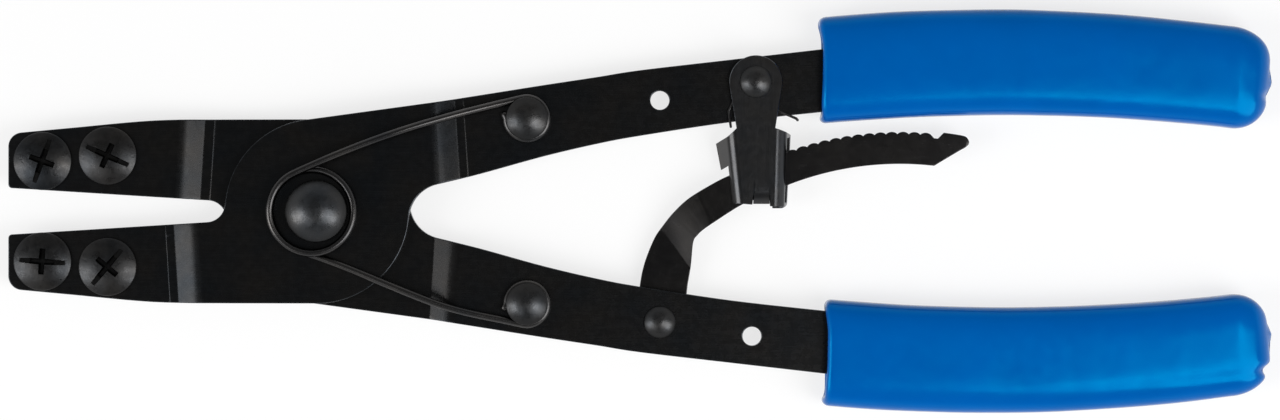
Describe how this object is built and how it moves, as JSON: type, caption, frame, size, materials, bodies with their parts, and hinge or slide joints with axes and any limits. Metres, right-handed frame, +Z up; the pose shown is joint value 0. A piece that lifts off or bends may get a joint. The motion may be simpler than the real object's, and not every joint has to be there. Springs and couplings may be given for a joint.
{
  "type": "locking snap-ring pliers",
  "caption": "Large snap-ring pliers with screw-on tip seats, sleeve grips, a wound return spring and a toothed bar that locks the handles.",
  "frame": {"origin": "on the pivot's axis, on the plane that the pliers rest on", "axes": "+X from the jaws towards the grips along the line between the handles, +Y towards the handle that carries the lock clip, +Z up along the pivot's axis towards its domed head"},
  "size_m": [0.4, 0.127, 0.0229],
  "materials": {
    "black_oxide_steel": "black oxide",
    "dark_steel": "black oxide, polished",
    "spring_steel": "oiled",
    "zinc_steel": "zinc plate",
    "blue_vinyl": "dipped vinyl"
  },
  "bodies": {
    "back_half": {"back_arm": "black_oxide_steel", "lower_grip": "blue_vinyl", "pivot_rivet": "dark_steel", "pivot_washer": "dark_steel", "lower_spring_post": "zinc_steel", "ratchet_rivet": "zinc_steel", "return_spring": "spring_steel"},
    "front_half": {"front_arm": "black_oxide_steel", "upper_grip": "blue_vinyl", "upper_spring_post": "zinc_steel", "clip_rivet": "zinc_steel", "clip_spring": "spring_steel"},
    "bar": {"ratchet_bar": "black_oxide_steel"},
    "clip": {"lock_clip": "zinc_steel"},
    "screw_upper_outer": {"tip_screw_upper_outer": "zinc_steel"},
    "screw_upper_inner": {"tip_screw_upper_inner": "zinc_steel"},
    "screw_lower_outer": {"tip_screw_lower_outer": "zinc_steel"},
    "screw_lower_inner": {"tip_screw_lower_inner": "zinc_steel"}
  },
  "joints": [
    {"name": "handles_open", "type": "hinge", "parent": "back_half", "child": "front_half", "pos_m": [0, 0, 0.0085], "axis": [0, 0, 1], "range_deg": [-3.5, 20], "deforming": ["return_spring"]},
    {"name": "bar_swing", "type": "hinge", "parent": "back_half", "child": "bar", "pos_m": [0.1086, -0.03517, 0.0085], "axis": [0, 0, 1], "range_deg": [-8, 45]},
    {"name": "clip_tilt", "type": "hinge", "parent": "front_half", "child": "clip", "pos_m": [0.139, 0.04097, 0.0085], "axis": [0, 0, 1], "range_deg": [-4, 0], "stiffness_Nm_per_rad": 0.02, "deforming": ["clip_spring"]},
    {"name": "screw_upper_outer_out", "type": "slide", "parent": "back_half", "child": "screw_upper_outer", "axis": [0, 0, 1], "range_m": [0, 0.003]},
    {"name": "screw_upper_inner_out", "type": "slide", "parent": "back_half", "child": "screw_upper_inner", "axis": [0, 0, 1], "range_m": [0, 0.003]},
    {"name": "screw_lower_outer_out", "type": "slide", "parent": "front_half", "child": "screw_lower_outer", "axis": [0, 0, 1], "range_m": [0, 0.003]},
    {"name": "screw_lower_inner_out", "type": "slide", "parent": "front_half", "child": "screw_lower_inner", "axis": [0, 0, 1], "range_m": [0, 0.003]}
  ],
  "couplings": [
    {"joint": "bar_swing", "follows": "handles_open", "ratio": 2.2}
  ]
}
